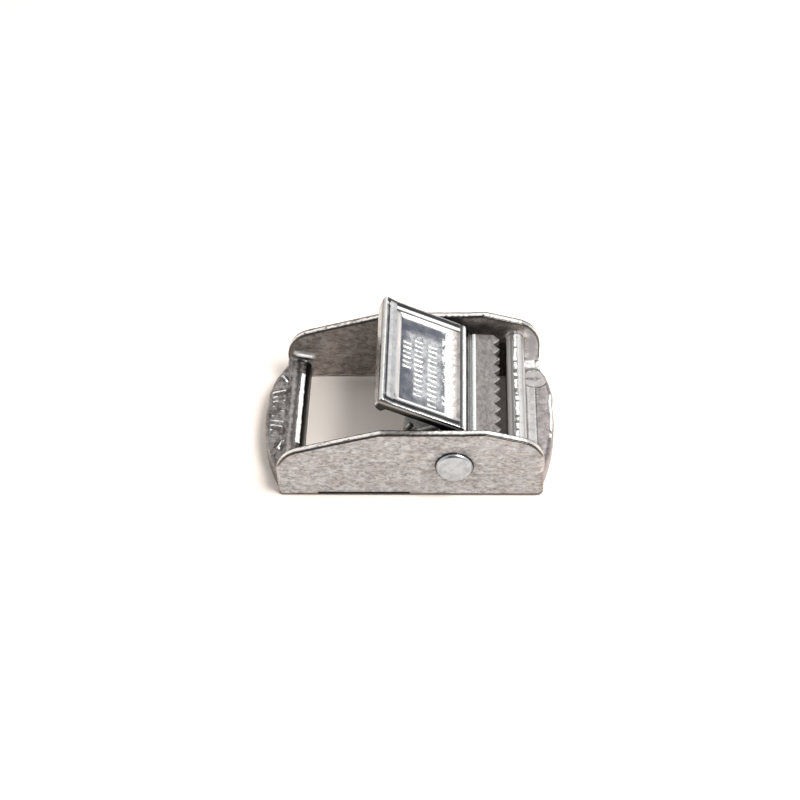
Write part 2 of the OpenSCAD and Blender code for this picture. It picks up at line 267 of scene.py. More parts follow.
def pressed_copy(node, name, grain, passes):
    """A new piece in mm from a CAD node's form, in even faces and with eased edges."""
    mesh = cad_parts[node].data.copy()
    mesh.transform(Matrix.Scale(1 / MM, 4))
    mesh.materials.clear()
    obj = new_piece(name, mesh)
    remesh = obj.modifiers.new("Even faces", "REMESH")
    remesh.mode = "VOXEL"
    remesh.voxel_size = grain
    obj.data = applied(obj)
    obj.modifiers.clear()
    points, edges = mesh_arrays(obj.data)
    set_points(obj.data, eased(points, edges, passes))
    return obj


def thin_out(obj, triangles):
    obj.data.calc_loop_triangles()
    share = triangles / len(obj.data.loop_triangles)
    if share < 1:
        decimate = obj.modifiers.new("Thin out", "DECIMATE")
        decimate.ratio = share
        obj.data = applied(obj)
        obj.modifiers.clear()


def mark_form(mesh, passes, reach, wide_reach):
    """Stores at each point how far the form stands out there, and how far it folds in, from 0 to 1."""
    points, edges = mesh_arrays(mesh)
    normals = normals_of(mesh)
    near = eased(points, edges, passes)
    away = ((points - near) * normals).sum(axis=1)
    away_wide = ((points - eased(near, edges, WIDE_PASSES - passes)) * normals).sum(axis=1)
    for name, value in (
            ("edge", away / reach), ("crease", -away / reach), ("halo", away_wide / wide_reach)):
        attribute = mesh.attributes.new(name, "FLOAT", "POINT")
        attribute.data.foreach_set("value", np.clip(value, 0, 1).astype(np.float32))


def finish_piece(obj, body, node, material):
    obj.data.transform(Matrix.Scale(MM, 4))
    obj.data.shade_smooth()
    obj.data.materials.append(material)
    if body:
        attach(obj, body)
    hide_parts(node)


# Material helpers

class Nodes:
    """Adds nodes to a tree, and gives the sockets that they lead to."""

    def __init__(self, tree):
        self.tree = tree

    def feed(self, socket, source):
        """Feeds an input from a socket, or with a number, a vector or a tone."""
        if isinstance(source, bpy.types.NodeSocket):
            self.tree.links.new(source, socket)
        elif socket.type == "RGBA":
            socket.default_value = (*source, 1.0)
        else:
            socket.default_value = source

    def put(self, kind, inputs=None, **settings):
        """A new node with its settings and its inputs."""
        made = self.tree.nodes.new(kind)
        for name, value in settings.items():
            setattr(made, name, value)
        for name, source in (inputs or {}).items():
            self.feed(made.inputs[name], source)
        return made

    def calculated(self, operation, a, b=0.0):
        return self.put("ShaderNodeMath", {0: a, 1: b}, operation=operation).outputs[0]

    def plus(self, a, b):
        return self.calculated("ADD", a, b)

    def minus(self, a, b):
        return self.calculated("SUBTRACT", a, b)

    def size(self, value):
        return self.calculated("ABSOLUTE", value)

    def product(self, first, *others):
        for other in others:
            first = self.calculated("MULTIPLY", first, other)
        return first

    def most(self, first, *others):
        for other in others:
            first = self.calculated("MAXIMUM", first, other)
        return first

    def distance(self, a, b):
        return self.calculated("SQRT", self.plus(self.product(a, a), self.product(b, b)))

    def dot(self, a, b):
        return self.put("ShaderNodeVectorMath", {0: a, 1: b}, operation="DOT_PRODUCT").outputs["Value"]

    def mapped(self, value, low, high, to_low, to_high, kind="LINEAR"):
        return self.put("ShaderNodeMapRange", {
            "Value": value, "From Min": low, "From Max": high, "To Min": to_low, "To Max": to_high},
            interpolation_type=kind).outputs[0]

    def ramp(self, value, low, high):
        """A mask that goes from 0 at one value to 1 at another."""
        return self.mapped(value, low, high, 0, 1)

    def strip(self, value, low, high, soft=0.08):
        """A mask that is 1 between two values, with soft ends."""
        return self.product(
            self.ramp(value, low - soft, low + soft), self.ramp(value, high + soft, high - soft))

    def blended(self, factor, a, b, mode="MIX"):
        """Two colours mixed, or in the mode MULTIPLY the first times the second."""
        return self.put(
            "ShaderNodeMix", {"Factor": factor, 6: a, 7: b}, data_type="RGBA", blend_type=mode).outputs[2]


class Coat(Nodes):
    """A material's nodes, with its colour so far and the masks of its matte places."""

    def __init__(self, name, metallic=1.0):
        self.material = bpy.data.materials.new(name)
        self.material.use_nodes = True
        super().__init__(self.material.node_tree)
        self.shader = self.tree.nodes["Principled BSDF"]
        self.give("Metallic", metallic)
        self.matte = []

    def give(self, name, source):
        self.feed(self.shader.inputs[name], source)

    def place(self):
        return self.put("ShaderNodeTexCoord").outputs["Object"]

    def along(self, axis, start=0.0):
        """A point's place in mm along an axis of the buckle."""
        return self.minus(self.calculated("DIVIDE", self.dot(self.place(), axis), MM), start)

    def facing(self, axis):
        """How squarely the surface faces along an axis, from -1 to 1."""
        return self.dot(self.put("ShaderNodeNewGeometry").outputs["Normal"], axis)

    def stored(self, name):
        return self.put("ShaderNodeAttribute", attribute_name=name).outputs["Fac"]

    def grain(self, scale, detail, roughness=0.6, distortion=0.0, stretch=(1, 1, 1)):
        """Noise at a scale per mm, drawn out along the axes whose stretch is under 1."""
        where = self.put(
            "ShaderNodeMapping", {"Vector": self.place(), "Scale": [s / MM for s in stretch]}).outputs[0]
        return self.put("ShaderNodeTexNoise", {
            "Vector": where, "Scale": scale, "Detail": detail, "Roughness": roughness,
            "Distortion": distortion}).outputs["Fac"]

    def strokes(self, scale, stretch):
        """Masks for fine wavy strokes, a dark and a light one side by side."""
        wave = self.grain(scale, 1.5, 0.45, 0.25, stretch)
        where = self.ramp(self.grain(1.2, 2, 0.5, stretch=(1.1, 1, 1.6)), 0.42, 0.58)
        dark = self.product(self.strip(wave, 0.445, 0.485, 0.03), where)
        light = self.product(self.strip(wave, 0.53, 0.565, 0.03), where)
        return dark, light

    def paint(self, tone, *masks, strength=None, matte=0.0):
        """Lays a tone where all masks meet, and takes a share of the metal shine there."""
        place = self.product(*masks)
        cover = place if strength is None else self.product(place, strength)
        self.colour = self.blended(cover, self.colour, tone)
        if matte:
            self.matte.append(self.product(place, matte))

    def dim(self, share, *masks):
        """Multiplies the colour where all masks meet by a share of red, green and blue."""
        self.colour = self.blended(self.product(*masks), self.colour, share, "MULTIPLY")

    def bump(self, *layers):
        """Lays bumps over each other, each with its height, strength and depth in mm."""
        normal = None
        for height, strength, depth in layers:
            made = self.put(
                "ShaderNodeBump", {"Height": height, "Strength": strength, "Distance": depth * MM})
            if normal is not None:
                self.feed(made.inputs["Normal"], normal)
            normal = made.outputs[0]
        self.give("Normal", normal)


# In the coats below, places are in mm and tones are shares of red, green and blue

class FrameCoat(Coat):
    """The frame's bare steel: tumbled and darker in places, with edge wear, painted highlights and painted
    shade.
    """

    def __init__(self, finish):
        super().__init__("tumbled_steel")
        self.finish = finish
        self.x = self.along((1, 0, 0))
        self.y = self.along((0, 1, 0))
        self.z = self.along((0, 0, 1))
        self.across = self.size(self.y)
        self.upward = self.facing((0, 0, 1))
        self.flat = self.ramp(self.upward, 0.3, 0.7)
        self.edge = self.stored("edge")
        self.marks = self.grain(1.25, 3.5, 0.62, 0.4, (0.7, 0.8, 1.2))
        self.patches = self.grain(0.4, 3, stretch=(0.7, 1, 1))
        self.warmth = self.grain(0.9, 2, 0.5)
        self.broken = self.grain(0.9, 3, 0.7, stretch=(0.3, 1, 0.3))
        self.wavy_x = self.plus(self.x, self.product(self.minus(self.warmth, 0.5), 0.8))
        self.between = self.ramp(self.across, HALF_INNER - 0.15, HALF_INNER - 0.4)
        self.low = self.ramp(self.z, 5.4, 5.0)
        self.rim = self.product(self.ramp(self.across, 13.3, 13.5), self.ramp(self.z, 4.2, 4.8))

    def tumbled_steel(self):
        """Soft blotches lie under fine wavy strokes from tumbling."""
        finish = self.finish
        light = self.blended(self.ramp(self.warmth, 0.4, 0.6), finish.frame_light, finish.frame_warm)
        self.colour = self.blended(self.ramp(self.marks, 0.62, 0.33), light, finish.frame_dark)
        self.dim((0.8, 0.78, 0.765), self.ramp(self.patches, 0.6, 0.4))
        self.dark, self.pale = self.strokes(1.25, (0.4, 0.5, 1.15))
        self.dim((0.5, 0.46, 0.44), self.dark, self.mapped(self.flat, 0, 1, 1, 0.4))
        self.paint((0.86, 0.84, 0.83), self.pale, strength=0.6)

    def plate_sides(self):
        """Painted shade darkens the plates' sides, browner on the far plate's inner side, and a painted pool
        of light makes that inner side pale at its right end, with a dimmer band across it.
        """
        side = self.facing((0, -1, 0))
        # Painted shade on the faces that face sideways
        self.dim((0.86, 0.885, 0.925), self.ramp(self.size(side), 0.7, 0.95))
        # Browner painted shade on the far plate's inner side
        inside = self.product(self.ramp(side, 0.7, 0.95), self.ramp(self.across, 14.3, 13.9))
        self.dim((0.86, 0.79, 0.74), inside)
        # A painted pool of light at the right end of that inner side
        end = self.product(
            inside, self.ramp(self.x, 19.4, 19.8), self.ramp(self.z, 3.6, 4.2),
            self.mapped(self.marks, 0.35, 0.6, 0.9, 0.4))
        self.paint((0.74, 0.74, 0.745), end, matte=0.5)
        self.dim((0.75, 0.75, 0.76), end, self.strip(self.x, 20.5, 21.6, 0.2))

    def rivet_darkening(self):
        """The plate is darker round the rivet, with a black painted contact shadow where its head meets the
        plate.
        """
        apart = self.distance(self.minus(self.x, PIVOT.x), self.minus(self.z, PIVOT.z))
        spread = self.plus(apart, self.product(self.warmth, 1.8))
        dark_halo = self.product(self.mapped(spread, 3.7, 5.6, 0.7, 0), self.ramp(self.marks, 0.7, 0.4))
        self.dim((0.35, 0.34, 0.33), dark_halo)
        # Black painted contact shadow round the rivet's head
        self.dim((0.1, 0.1, 0.1), self.ramp(apart, 3.3, 3.05))

    def darkened_lips(self):
        """The left bar and lip are darker and blotched, and the right lip a little darker."""
        self.left = self.product(self.ramp(self.x, -17.2, -17.6), self.between, self.low)
        self.dim((0.54, 0.52, 0.51), self.left)
        blotches = self.grain(1.1, 4, 0.7, 0.3, (1, 0.6, 1))
        self.dim((0.45, 0.42, 0.41), self.left, self.ramp(blotches, 0.52, 0.42))
        self.dim((0.72, 0.68, 0.69), self.ramp(self.x, 21.5, 21.9), self.low)

    def left_bar(self):
        """A painted highlight runs along the left bar's top, beside black painted shade down its inner side.
        """
        top = self.product(self.left, self.ramp(self.z, 3.0, 3.4))
        self.paint((0.5, 0.47, 0.45), top, self.strip(self.wavy_x, -20.25, -19.8, 0.15), strength=0.5)
        self.paint((0.115, 0.105, 0.1), top, self.strip(self.wavy_x, -19.6, -19.1))
        ragged_x = self.plus(self.x, self.product(self.minus(self.marks, 0.5), 0.35))
        self.wear_and_highlight = self.product(
            top, self.strip(ragged_x, -18.88, -18.24, 0.05), self.strip(self.y, -6.8, 10, 0.1))
        # Black painted shade down the bar's inner side
        self.paint((0.025, 0.023, 0.02), self.left, self.ramp(self.x, -18.3, -18.15))
        # A painted highlight along the bar's rounded top edge
        self.paint((0.95, 0.94, 0.93), self.wear_and_highlight, matte=1)

    def bar_joints(self):
        """Where the left bar joins the plates, a painted highlight lies on the plates' inward bulge, over a
        painted shadow line.
        """
        inward = self.ramp(self.across, 13.95, 13.8)
        height = self.plus(self.z, self.product(self.plus(self.x, 18.5), 0.2))
        swelling_highlight = self.product(
            self.ramp(self.across, 12.95, 13.1), inward, self.strip(self.x, -20.2, -16.9, 0.4),
            self.strip(height, 4.7, 5.95, 0.2))
        # A painted highlight on the plates' inward bulge
        self.paint(
            (1.0, 0.99, 0.98), swelling_highlight, strength=self.mapped(self.marks, 0.35, 0.5, 0.7, 1), matte=1)
        # A painted shadow line where the bar meets the plates
        line = self.product(
            self.ramp(self.across, 12.7, 12.9), inward, self.strip(self.x, -19.8, -17.6, 0.3),
            self.strip(self.z, 4.2, 4.75, 0.1))
        self.paint((0.03, 0.03, 0.03), line)

    def anvil_bar(self):
        """The anvil bar has a dull flank, darker lines, and a broken painted highlight along its top."""
        bar = self.product(self.between, self.ramp(self.z, 6.5, 8))
        self.paint((0.46, 0.43, 0.41), bar, self.strip(self.x, 16.2, 17.5), matte=1)
        self.paint((0.85, 0.8, 0.77), bar, self.ramp(self.x, 16.9, 16.6))
        self.paint((0.16, 0.155, 0.15), bar, self.strip(self.x, 17.1, 17.5))
        self.paint((0.2, 0.19, 0.18), bar, self.strip(self.wavy_x, 17.55, 18.3, 0.05))
        # A broken painted highlight along the anvil bar's top
        self.ridge_highlight = self.product(
            bar, self.strip(self.wavy_x, 17.7, 18.2), self.ramp(self.broken, 0.45, 0.49))
        self.paint((0.8, 0.79, 0.78), self.ridge_highlight, matte=0.8)
        self.paint((0.52, 0.51, 0.51), bar, self.strip(self.x, 18.35, 20, 0.1))
        rubbed = self.product(
            bar, self.strip(self.x, 18.4, 19.0, 0.1), self.mapped(self.broken, 0.4, 0.5, 0.6, 1))
        self.paint((0.54, 0.53, 0.52), rubbed, matte=0.7)

    def slot_shade(self):
        """Black painted shade lies in the slot below the teeth."""
        self.slot = self.product(
            self.strip(self.x, 11.2, 19.3, 0.1), self.ramp(self.z, 8.2, 7.8),
            self.ramp(self.across, 13.7, 13.55))
        # Black painted shade in the slot
        self.paint((0.02, 0.018, 0.016), self.slot, strength=0.85)

    def pale_shelf(self):
        """The shelf behind the anvil bar is pale, with a painted highlight where it turns up into the plates.
        """
        shelf = self.product(self.between, self.low, self.flat, self.strip(self.x, 19.4, 21.35, 0.1))
        self.paint((0.62, 0.61, 0.6), shelf, strength=0.4)
        # A painted highlight where the shelf turns up into the plates
        bend_highlight = self.product(
            self.low, self.strip(self.x, 18.6, 22.3, 0.2), self.ramp(self.across, 11.6, 12.0),
            self.ramp(self.across, 13.6, 13.4), self.mapped(self.marks, 0.4, 0.55, 0.6, 1),
            self.ramp(self.z, 3.2, 3.4))
        self.paint((0.86, 0.85, 0.84), bend_highlight, strength=0.8, matte=0.7)

    def stamped_mark(self):
        """Painted shade darkens the stamped mark's walls, and the arrow in its middle is drawn dark."""
        ahead = self.minus(self.x, MARK_X)
        aside = self.size(self.minus(self.y, MARK_Y))
        apart = self.distance(ahead, aside)
        self.mark = self.product(
            self.ramp(apart, MARK_R + 0.3, MARK_R + 0.2), self.strip(self.z, 3.3, 4.0, 0.05),
            self.ramp(self.x, 19.8, 19.95))
        self.paint((0.4, 0.38, 0.37), self.mark, strength=0.6, matte=0.75)
        # Painted shade on the mark's walls
        wall_shade = self.most(self.ramp(apart, MARK_R - 0.1, MARK_R), self.ramp(self.flat, 1, 0.85))
        self.paint((0.09, 0.085, 0.08), self.mark, wall_shade)
        shaft = self.product(self.strip(ahead, -1.2, 0.4, 0.05), self.ramp(aside, 0.3, 0.2))
        tapered = self.plus(aside, self.product(ahead, 0.5))
        head = self.product(self.ramp(ahead, 0.25, 0.3), self.ramp(tapered, 0.65, 0.55))
        arrow = self.product(self.mark, self.most(shaft, head))
        self.paint((0.14, 0.135, 0.13), arrow, strength=self.mapped(ahead, -1.2, 0.3, 0.4, 0.9), matte=1)

    def sheared_rims(self):
        """Dirt and painted shade darken corners, and painted shade darkens both sides of the plates' sheared
        rims round a bright burr.
        """
        # Dirt and painted shade in the creases
        self.paint(self.finish.grime_and_shade, self.ramp(self.stored("crease"), 0.2, 0.8), strength=0.8)
        sheared = self.product(self.rim, self.flat)
        self.paint((0.5, 0.46, 0.43), sheared)
        chips = self.grain(1.6, 3, 0.7, stretch=(0.5, 1, 0.5))
        chipped = self.product(
            self.strip(self.across, 13.95, 14.5, 0.06), self.mapped(chips, 0.4, 0.48, 0.3, 1))
        whole = self.product(
            self.strip(self.across, 13.92, 14.58, 0.05), self.ramp(self.x, 11, 13),
            self.mapped(self.strip(self.across, 14.2, 14.3, 0.05), 0, 1, 1, 0.6))
        pits = self.product(sheared, self.ramp(chips, 0.47, 0.41), self.ramp(self.x, -3, -7))
        burr = self.product(sheared, self.most(chipped, whole), self.mapped(pits, 0, 1, 1, 0.15))
        self.paint((0.15, 0.11, 0.09), pits, strength=0.85)
        self.paint(self.blended(self.ramp(self.x, -8, -4), (0.98, 0.92, 0.87), (0.95, 0.93, 0.91)), burr)
        # Painted shade on both sides of the rims
        sides = self.most(self.ramp(self.across, 14.62, 14.74), self.ramp(self.across, 13.9, 13.78))
        self.paint((0.05, 0.045, 0.04), sheared, sides)

    def edge_wear_and_highlights(self):
        """The other edges are bright in stretches with wear and painted highlight; painted shade darkens the
        rims' edges, and painted highlights brighten the lips' edges most of all.
        """
        kept = self.most(self.rim, self.mark, self.slot)
        # Edges bright with wear and painted highlight
        wear_and_highlight = self.product(
            self.ramp(self.edge, 0.35, 0.8), self.ramp(kept, 1, 0), self.ramp(self.broken, 0.4, 0.5))
        self.paint((0.8, 0.79, 0.78), wear_and_highlight)
        # Painted shade along the rims' edges
        self.paint(self.finish.grime_and_shade, self.ramp(self.edge, 0.3, 0.6), self.rim, strength=0.9)
        # Painted highlight where the lips' rounded edges face the light
        right = self.product(
            self.strip(self.upward, 0.64, 0.9, 0.04), self.ramp(self.x, 0, 1),
            self.strip(self.y, -4.9, 5.8, 0.4))
        left = self.product(self.ramp(self.edge, 0.25, 0.45), self.ramp(self.x, 1, 0), 0.35)
        self.lip_highlight = self.product(
            self.most(right, left), self.ramp(self.size(self.x), 22.2, 22.6), self.low,
            self.ramp(self.z, 2.6, 3.0), self.ramp(self.broken, 0.42, 0.47))
        self.paint((0.95, 0.94, 0.93), self.lip_highlight, matte=0.7)

    def lower_edges(self):
        """Painted shade darkens the plates' lower edges, with a black painted contact shadow along part of
        their length and a broken painted shade line a little over it.
        """
        outer = self.ramp(self.across, 14.3, 14.6)
        # Painted shade along the plates' lower edges
        self.dim((0.4, 0.37, 0.35), outer, self.ramp(self.z, 0.7, 0.55))
        # A black painted contact shadow
        under = self.product(outer, self.ramp(self.z, 0.98, 0.86), self.strip(self.x, -14.8, 0.4, 0.1))
        self.paint((0.015, 0.015, 0.015), under)
        # A broken painted shade line a little higher
        bend_shade = self.product(
            outer, self.strip(self.z, 1.1, 1.3, 0.1), self.strip(self.x, 1, 19, 1),
            self.ramp(self.broken, 0.5, 0.4))
        self.dim((0.45, 0.42, 0.4), bend_shade)

    def finished(self):
        self.give("Base Color", self.colour)
        self.give("Metallic", self.mapped(self.most(*self.matte), 0, 1, 1, 0.1))
        rough = self.mapped(self.patches, 0.3, 0.7, 0.36, 0.48)
        rough = self.minus(rough, self.mapped(self.edge, 0.2, 0.7, 0, 0.14))
        polished = self.most(self.wear_and_highlight, self.ridge_highlight, self.lip_highlight)
        self.give("Roughness", self.minus(rough, self.product(polished, 0.26)))
        raised = self.minus(self.pale, self.dark)
        self.bump((self.marks, 0.4, 0.05), (raised, 0.3, 0.02), (self.grain(6, 2, 0.5), 0.3, 0.012))
        return self.material


def frame_metal(finish):
    coat = FrameCoat(finish)
    coat.tumbled_steel()
    coat.plate_sides()
    coat.rivet_darkening()
    coat.darkened_lips()
    coat.left_bar()
    coat.bar_joints()
    coat.anvil_bar()
    coat.slot_shade()
    coat.pale_shelf()
    coat.stamped_mark()
    coat.sheared_rims()
    coat.edge_wear_and_highlights()
    coat.lower_edges()
    return coat.finished()


class LeverCoat(Coat):
    """The lever's plating, scuffed on its rims, and its bare cam, with painted highlights and painted shade.
    """

    def __init__(self, finish):
        super().__init__("plated_steel")
        self.finish = finish
        self.x = self.along((1, 0, 0))
        self.across = self.along((0, 1, 0))
        self.down = self.along(PANEL_DOWN, float(PANEL_DOWN @ PIVOT))
        self.over = self.along(PANEL_UP, float(PANEL_UP @ PIVOT) + PANEL_LIFT)
        self.edge = self.stored("edge")
        self.smudges = self.grain(0.4, 4, 0.65)
        self.streaks = self.grain(1.6, 4, 0.6, 0.6, (1, 0.5, 1))
        self.mottles = self.grain(1.3, 4, 0.65, 0.4, (1, 0.7, 1))
        self.rim = self.ramp(self.over, -0.25, -0.1)
        self.cam = self.ramp(self.x, 11.2, 11.3)
        self.teeth = self.ramp(self.x, 14.1, 14.3)

    def plating(self):
        """The plating is smudged, and its rims are scuffed."""
        smudged = self.mapped(self.smudges, 0.38, 0.68, 0, 0.35)
        self.colour = self.blended(smudged, self.finish.plating, (0.47, 0.47, 0.49))
        self.paint((0.64, 0.63, 0.62), self.rim)
        self.dim((0.8, 0.78, 0.77), self.rim, self.ramp(self.mottles, 0.52, 0.36))
        band_end = self.strip(self.down, -3.2, -1.5, 0.3)
        self.dim((0.82, 0.75, 0.73), band_end, self.mapped(self.mottles, 0.6, 0.4, 0.4, 1))

    def recess(self):
        """The recess's floor has pale matte patches in its middle and is darker at its far side, beside a
        slope with a painted highlight.
        """
        floor = self.product(
            self.ramp(self.over, -0.34, -0.42), self.ramp(self.over, -1.4, -1.2),
            self.strip(self.down, -12.8, -4.6, 0.3))
        self.dim((0.82, 0.82, 0.84), floor, self.ramp(self.across, 6.2, 7.2))
        bare_corner = self.most(self.ramp(self.down, -10.6, -9.8), self.ramp(self.across, -2.8, -1.8))
        pale_patches = self.product(
            floor, self.strip(self.across, -8.6, 6.4, 0.6), self.strip(self.down, -11.7, -5.2, 0.4),
            bare_corner, self.mapped(self.mottles, 0.4, 0.58, 0.16, 0.48))
        self.paint((0.85, 0.85, 0.84), pale_patches, matte=1)
        # A painted highlight on the slope by the thumb
        slope = self.product(
            self.strip(self.down, -13.8, -12.75, 0.1), self.strip(self.across, -9.9, 9.9, 0.3))
        self.paint((0.6, 0.59, 0.585), slope, strength=0.9, matte=0.6)

    def bare_cam(self):
        """The cam behind the teeth is bare and matte, and painted light brightens the teeth's far sides."""
        plating = self.colour
        self.colour = self.blended(
            self.ramp(self.streaks, 0.62, 0.36), self.finish.cam_tone, (0.2, 0.185, 0.175))
        self.dim((0.75, 0.74, 0.73), self.teeth, self.ramp(self.x, 14.9, 15.3))
        lit_far_side = self.ramp(self.facing((0, 1, 0)), 0.25, 0.5)
        # Painted light on the teeth's far sides
        self.paint((0.5, 0.49, 0.48), self.teeth, lit_far_side)
        self.colour = self.blended(self.cam, plating, self.colour)

    def painted_shade_and_edges(self):
        """Painted shade covers the turned-down sides and the underside and outlines the edges; dirt and
        painted shade darken the creases, and the edges are bright with wear and painted highlight.
        """
        # Painted shade outlines the edges
        beside = self.product(self.ramp(self.stored("halo"), 0.3, 0.7), self.ramp(self.edge, 0.45, 0.2))
        self.paint(self.finish.grime_and_shade, beside, strength=0.7)
        # Dirt and painted shade in the creases
        self.paint(self.finish.grime_and_shade, self.ramp(self.stored("crease"), 0.2, 0.8), strength=0.5)
        # Edges bright with wear and painted highlight
        wear_and_highlight = self.product(self.ramp(self.edge, 0.35, 0.7), self.ramp(self.teeth, 1, 0))
        self.paint((0.88, 0.87, 0.86), wear_and_highlight, strength=0.9)
        side = self.size(self.facing((0, 1, 0)))
        # Painted shade on the turned-down sides and the underside
        shading = self.most(self.ramp(side, 0.75, 0.95), self.ramp(self.facing(-PANEL_UP), 0.3, 0.6))
        self.paint(self.finish.grime_and_shade, shading, strength=0.85)
        # Near-black painted shade on the sides' lower parts
        panel = self.product(self.ramp(self.down, -0.6, -0.8), self.ramp(self.over, -3.5, -3.3))
        self.sides = self.product(self.ramp(side, 0.6, 0.85), panel)
        self.paint((0.03, 0.028, 0.025), self.sides, strength=self.mapped(self.over, -0.5, -1.2, 0.5, 1))

    def thumb_flange(self):
        """The thumb end's flange is duller, with a painted shade line along its fold."""
        flange = self.product(self.ramp(self.down, -15.9, -16.1), self.ramp(self.over, -0.3, -0.5))
        self.paint((0.38, 0.37, 0.36), flange, strength=self.mapped(self.mottles, 0.4, 0.6, 1, 0.4))
        # A painted shade line along the fold
        under_fold = self.product(self.ramp(self.down, -15.93, -16.03), self.strip(self.over, -0.75, -0.12))
        self.paint((0.09, 0.09, 0.09), under_fold)

    def rim_lines(self):
        """Painted highlights and painted shade lines follow the rims, and the fold behind the panel."""
        # A painted light line on the turned-down sides
        self.paint((0.3, 0.29, 0.28), self.sides, self.strip(self.over, -0.72, -0.38), matte=1)
        lengthwise = self.product(self.rim, self.strip(self.down, -15.6, -1.9, 0.3))
        crosswise = self.product(self.rim, self.strip(self.across, -11.4, 11.8, 0.2))
        above = self.ramp(self.over, -3, -2.5)
        for place, mask, lines in (
                (self.across, lengthwise, RIM_HIGHLIGHT_AND_SHADE), (self.down, crosswise, THUMB_HIGHLIGHT_AND_SHADE),
                (self.x, above, FOLD_HIGHLIGHT_AND_SHADE)):
            for low, high, shade in lines:
                line = self.product(mask, self.strip(place, low, high, 0.06))
                self.paint((shade, shade, shade), line, matte=1 if shade > DARK_SHADE else 0)
        band = self.product(
            crosswise, self.strip(self.down, -15.0, -13.8), self.ramp(self.mottles, 0.55, 0.38))
        self.dim((0.76, 0.75, 0.74), band)
        # A painted highlight along the recess's near side
        near_line = self.product(
            self.strip(self.across, -10.5, -10.05, 0.06), self.strip(self.down, -12.9, -4.4, 0.2))
        self.paint((0.9, 0.9, 0.9), near_line, matte=0.8)

    def frayed_slope(self):
        """Painted highlight frays the recess's bright slope by the fold along both its sides, and darker
        patches lie in it.
        """
        upper = self.product(self.strip(self.across, -9.2, 9.2, 0.3), self.ramp(self.over, -1.4, -1.2))
        fringe = self.most(self.strip(self.down, -5.1, -4.5, 0.1), self.strip(self.down, -3.5, -2.95, 0.15))
        # Painted highlight along the slope's sides
        frayed_highlight = self.product(fringe, upper, self.ramp(self.mottles, 0.5, 0.56), 0.85)
        self.paint((0.95, 0.94, 0.93), frayed_highlight, matte=1)
        dark_patches = self.product(
            self.strip(self.down, -4.3, -3.5, 0.1), upper, self.ramp(self.mottles, 0.45, 0.39))
        self.paint((0.4, 0.38, 0.37), dark_patches, matte=1)

    def finished(self):
        self.give("Base Color", self.colour)
        self.give("Metallic", self.mapped(self.most(*self.matte), 0, 1, 1, 0.2))
        rough = self.mapped(self.smudges, 0.4, 0.6, 0.12, 0.26)
        rough = self.plus(rough, self.mapped(self.down, -11, -6, 0, 0.1))
        rough = self.plus(rough, self.most(self.product(self.rim, 0.16), self.product(self.cam, 0.2)))
        self.give("Roughness", self.minus(rough, self.mapped(self.edge, 0.3, 0.8, 0, 0.1)))
        self.bump((self.smudges, 0.5, 0.06), (self.streaks, 0.12, 0.03), (self.grain(5, 3), 0.25, 0.012))
        return self.material


def lever_metal(finish):
    coat = LeverCoat(finish)
    coat.plating()
    coat.recess()
    coat.bare_cam()
    coat.painted_shade_and_edges()
    coat.thumb_flange()
    coat.rim_lines()
    coat.frayed_slope()
    return coat.finished()


def rivet_metal(finish):
    coat = Coat("rivet_steel")
    smudges = coat.grain(0.8, 3)
    coat.colour = coat.blended(coat.mapped(smudges, 0.38, 0.62, 0, 1), finish.rivet_tone, (0.38, 0.4, 0.42))
    # Edge wear and painted highlight brighten the rivet's rims, and dirt and painted shade darken its creases
    coat.paint((0.85, 0.86, 0.87), coat.mapped(coat.stored("edge"), 0.2, 0.8, 0, 0.8))
    coat.paint(finish.grime_and_shade, coat.mapped(coat.stored("crease"), 0.1, 0.6, 0, 0.9))
    coat.give("Base Color", coat.colour)
    coat.give("Roughness", coat.mapped(smudges, 0.3, 0.7, 0.26, 0.38))
    coat.bump((smudges, 0.4, 0.05), (coat.grain(4, 3), 0.25, 0.012))
    return coat.material


def wire_metal(finish):
    coat = Coat("drawn_wire")
    marks = coat.grain(3, 3)
    coat.give("Base Color", coat.blended(
        coat.mapped(marks, 0.3, 0.7, 0, 1), finish.wire_tone, (0.25, 0.24, 0.23)))
    coat.give("Roughness", coat.mapped(marks, 0.3, 0.7, 0.2, 0.35))
    coat.bump((marks, 0.3, 0.02))
    return coat.material


